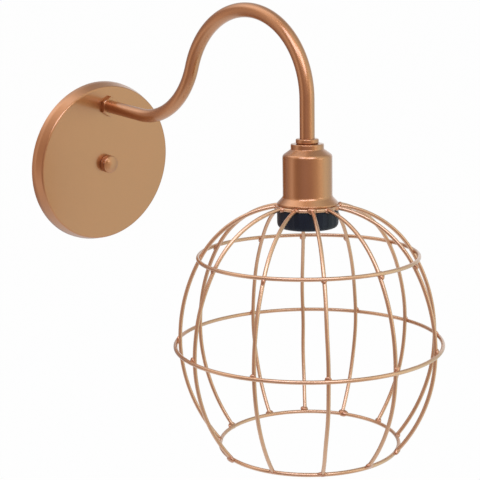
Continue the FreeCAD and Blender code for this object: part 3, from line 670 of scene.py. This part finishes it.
def makeArm():
    # carries two circles along the path, the outer wall forward and the bore back
    path = armPath()
    ahead = np.gradient(path, axis=0)
    ahead /= np.linalg.norm(ahead, axis=1, keepdims=True)
    turn = np.linspace(0, 2 * math.pi, armLook["around"], endpoint=False)
    walls = []
    for radius, order in ((armLook["radius"], slice(None)), (armLook["bore"], slice(None, None, -1))):
        side = radius * np.sin(turn)[None, :]
        y = path[order, :1] + side * -ahead[order, 1:]
        z = path[order, 1:] + side * ahead[order, :1]
        walls.append(np.stack([np.broadcast_to(radius * np.cos(turn), y.shape), y, z], axis=-1))
    addPiece(meshFromGrid("swan_neck", np.vstack(walls), wrapRows=True), "fixture",
             copperLacquer, ("arm_tube",))


makeCanopy()
makeCup()
makeCollar()
makeArm()
makeShadeRing()
makeScrewShell()
makeThumbNut()
print("canopy, cup, arm and small parts made")

cameraLook = {"place": (-0.723, -0.946, 0.2604), "yaw": 45.01, "pitch": -16.311, "roll": 3.937,
              "lens": 89.02, "shift": (-0.01765, 0.02373), "sensor": 36.0, "clip": (0.01, 50.0)}


def makeCamera():
    # forward from yaw and pitch, then right and up turned about it by the roll
    yaw, pitch, roll = (math.radians(cameraLook[key]) for key in ("yaw", "pitch", "roll"))
    forward = Vector((math.sin(yaw) * math.cos(pitch), math.cos(yaw) * math.cos(pitch), math.sin(pitch)))
    level = Vector((math.cos(yaw), -math.sin(yaw), 0.0))
    upright = level.cross(forward)
    right = math.cos(roll) * level + math.sin(roll) * upright
    up = -math.sin(roll) * level + math.cos(roll) * upright
    data = bpy.data.cameras.new("camera")
    data.sensor_width = cameraLook["sensor"]
    data.lens = cameraLook["lens"]
    data.shift_x, data.shift_y = cameraLook["shift"]
    data.clip_start, data.clip_end = cameraLook["clip"]
    camera = bpy.data.objects.new("camera", data)
    bpy.context.scene.collection.objects.link(camera)
    turn = Matrix((right, up, -forward)).transposed().to_4x4()
    camera.matrix_world = Matrix.Translation(Vector(cameraLook["place"])) @ turn
    bpy.context.scene.camera = camera


makeCamera()

stageLook = {"floorDrop": 0.30, "floorSize": 60.0, "floorColour": (0.82, 0.82, 0.81), "floorRoughness": 0.9,
             "floorWhite": 0.98, "worldLevel": 0.5, "aim": (0.0, -0.20, 0.02), "cameraBearing": 225,
             # how far the white paper reaches round the object in reflections
             "paperReach": (0.35, 0.85),
             # turn from the camera's bearing, to the right of the picture where positive, and the studio's
             # colour there in a reflection: pale behind the object, a light wall to the right, a narrow
             # bright strip to the left and dim round the camera. The first list is for level directions,
             # the second for raised ones, and rise is where one passes into the other.
             "round": ((-179, (0.80, 0.76, 0.74)), (-150, (0.44, 0.36, 0.34)), (-115, (0.48, 0.36, 0.32)),
                       (-100, (0.58, 0.44, 0.38)), (-88, (0.78, 0.64, 0.55)), (-75, (1.22, 1.06, 0.92)),
                       (-62, (0.60, 0.45, 0.38)), (-48, (0.42, 0.29, 0.24)), (-12, (0.58, 0.44, 0.42)),
                       (12, (0.58, 0.43, 0.38)), (40, (0.80, 0.68, 0.56)), (62, (1.04, 1.00, 0.84)),
                       (86, (1.12, 1.32, 1.22)), (108, (0.92, 1.02, 0.94)), (130, (0.70, 0.72, 0.64)),
                       (152, (0.95, 0.95, 0.95))),
             "above": ((-170, (0.52, 0.50, 0.48)), (-130, (1.30, 1.25, 1.20)), (-108, (2.00, 1.95, 1.90)),
                       (-74, (1.20, 1.06, 0.96)), (-56, (0.34, 0.25, 0.22)), (-34, (0.80, 0.68, 0.60)),
                       (10, (1.05, 0.92, 0.82)), (46, (1.00, 0.96, 0.84)), (84, (1.05, 1.20, 1.12)),
                       (120, (0.66, 0.68, 0.62)), (160, (0.56, 0.54, 0.50))),
             "rise": (0.30, 0.62)}
paperWhite = (1.0, 1.0, 1.0, 1.0)


def makeStudioGroup():
    # colour of the studio in a direction: a ramp over its turn from the camera's bearing, which passes into
    # a second one as the direction rises
    group = bpy.data.node_groups.new("studioRound", "ShaderNodeTree")
    group.interface.new_socket("Direction", in_out="INPUT", socket_type="NodeSocketVector")
    group.interface.new_socket("Color", in_out="OUTPUT", socket_type="NodeSocketColor")
    given, result = group.nodes.new("NodeGroupInput"), group.nodes.new("NodeGroupOutput")
    turned = addNode(group, "ShaderNodeVectorRotate", {"rotation_type": "Z_AXIS"},
                     {"Vector": given.outputs["Direction"],
                      "Angle": math.radians(-stageLook["cameraBearing"])}).outputs[0]
    parts = addNode(group, "ShaderNodeSeparateXYZ", {}, {0: turned})
    bearing = mathOf(group, "ARCTAN2", parts.outputs["Y"], parts.outputs["X"])
    share = addNode(group, "ShaderNodeMapRange", {}, {
        "Value": bearing, "From Min": -math.pi, "From Max": math.pi}).outputs["Result"]
    walls = []
    for key in ("round", "above"):
        walls.append(addNode(group, "ShaderNodeValToRGB", {}, {"Fac": share}))
        ramp = walls[-1].color_ramp
        for turn, colour in stageLook[key]:
            ramp.elements.new(turn / 360 + 0.5).color = (*colour, 1.0)
        ramp.elements.remove(ramp.elements[0])    # the two that a new ramp starts with
        ramp.elements.remove(ramp.elements[-1])
    raised = addNode(group, "ShaderNodeMapRange", {}, {
        "Value": parts.outputs["Z"], "From Min": stageLook["rise"][0],
        "From Max": stageLook["rise"][1]}).outputs["Result"]
    both = addNode(group, "ShaderNodeMixRGB", {}, {"Fac": raised, "Color1": walls[0].outputs["Color"],
                                                   "Color2": walls[1].outputs["Color"]})
    group.links.new(both.outputs["Color"], result.inputs["Color"])
    return group


studioRound = makeStudioGroup()


def rayKind(tree):
    # Light Path as two factors: camera or transmission ray, and glossy ray
    path = addNode(tree, "ShaderNodeLightPath")
    seen = mathOf(tree, "MAXIMUM", path.outputs["Is Camera Ray"], path.outputs["Is Transmission Ray"])
    return seen, path.outputs["Is Glossy Ray"]


def makeWorld():
    # an even dim dome for light, white for the camera, and the studio's walls for reflections
    world = bpy.data.worlds.new("studio")
    world.use_nodes = True
    bpy.context.scene.world = world
    tree = world.node_tree
    tree.nodes.clear()
    direction = addNode(tree, "ShaderNodeTexCoord").outputs["Generated"]
    walls = addNode(tree, "ShaderNodeGroup", {"node_tree": studioRound}, {"Direction": direction})
    dim, reflected, bright = (
        addNode(tree, "ShaderNodeBackground", {}, {"Color": colour, "Strength": level}).outputs[0]
        for colour, level in ((paperWhite, stageLook["worldLevel"]), (walls.outputs["Color"], 1.0),
                              (paperWhite, 1.0)))
    seen, glossy = rayKind(tree)
    first = addNode(tree, "ShaderNodeMixShader", {}, {0: glossy, 1: dim, 2: reflected})
    last = addNode(tree, "ShaderNodeMixShader", {}, {0: seen, 1: first.outputs[0], 2: bright})
    addNode(tree, "ShaderNodeOutputWorld", {}, {"Surface": last.outputs[0]})


def makeFloor():
    # white paper round the object. In reflections it passes into the studio's colours further out, and from
    # below it is clear.
    half = stageLook["floorSize"] / 2
    low = cadBox[0][2] - stageLook["floorDrop"]
    mesh = bpy.data.meshes.new("floor")
    mesh.from_pydata([(-half, -half, low), (half, -half, low), (half, half, low), (-half, half, low)], [],
                     [(0, 1, 2, 3)])
    floor = bpy.data.objects.new("floor", mesh)
    bpy.context.scene.collection.objects.link(floor)
    material, tree, shader = newMaterial("paleFloor")
    shader.inputs["Base Color"].default_value = (*stageLook["floorColour"], 1.0)
    shader.inputs["Roughness"].default_value = stageLook["floorRoughness"]
    place = addNode(tree, "ShaderNodeTexCoord").outputs["Object"]
    away = addNode(tree, "ShaderNodeVectorMath", {"operation": "SUBTRACT"},
                   {0: place, 1: (stageLook["aim"][0], stageLook["aim"][1], low)}).outputs[0]
    distance = addNode(tree, "ShaderNodeVectorMath", {"operation": "LENGTH"}, {0: away}).outputs["Value"]
    beyond = addNode(tree, "ShaderNodeMapRange", {}, {
        "Value": distance, "From Min": stageLook["paperReach"][0],
        "From Max": stageLook["paperReach"][1]}).outputs["Result"]
    walls = addNode(tree, "ShaderNodeGroup", {"node_tree": studioRound}, {"Direction": away})
    seen, glossy = rayKind(tree)
    colour = addNode(tree, "ShaderNodeMixRGB", {}, {
        "Fac": mathOf(tree, "MULTIPLY", beyond, glossy), "Color1": paperWhite,
        "Color2": walls.outputs["Color"]}).outputs["Color"]
    white = addNode(tree, "ShaderNodeEmission", {}, {"Color": colour, "Strength": 1.0})
    paper = addNode(tree, "ShaderNodeMixShader", {}, {
        0: stageLook["floorWhite"], 1: shader.outputs[0], 2: white.outputs[0]})
    top = addNode(tree, "ShaderNodeMixShader", {}, {
        0: mathOf(tree, "MAXIMUM", seen, glossy), 1: shader.outputs[0], 2: paper.outputs[0]})
    clear = addNode(tree, "ShaderNodeBsdfTransparent")
    below = addNode(tree, "ShaderNodeNewGeometry").outputs["Backfacing"]
    last = addNode(tree, "ShaderNodeMixShader", {}, {0: below, 1: top.outputs[0], 2: clear.outputs[0]})
    output = next(node for node in tree.nodes if node.type == "OUTPUT_MATERIAL")
    tree.links.new(last.outputs[0], output.inputs["Surface"])
    mesh.materials.append(material)


# bearing from +X and height angle in degrees, distance, size, watts, colour
lightLooks = {"key": (196, 50, 1.5, 0.80, 5.2, (0.86, 1.0, 1.32)),
              "right": (243, 44, 1.5, 0.80, 4.8, (0.86, 1.0, 1.32)),
              "low": (284, 14, 1.6, 0.60, 1.0, (1.0, 0.97, 0.92))}


def makeLights():
    # round area lights that face the aim from aim + distance (cos b cos h, sin b cos h, sin h)
    aim = Vector(stageLook["aim"])
    for name, (bearing, height, distance, size, watts, colour) in lightLooks.items():
        data = bpy.data.lights.new(name, "AREA")
        data.shape, data.size, data.energy, data.color = "DISK", size, watts, colour
        light = bpy.data.objects.new(name, data)
        bpy.context.scene.collection.objects.link(light)
        bearing, height = math.radians(bearing), math.radians(height)
        away = Vector((math.cos(bearing) * math.cos(height), math.sin(bearing) * math.cos(height),
                       math.sin(height)))
        light.location = aim + away * distance
        light.rotation_euler = away.to_track_quat("Z", "Y").to_euler()


makeWorld()
makeFloor()
makeLights()
bpy.context.scene.view_settings.view_transform = "Standard"
print("stage set")
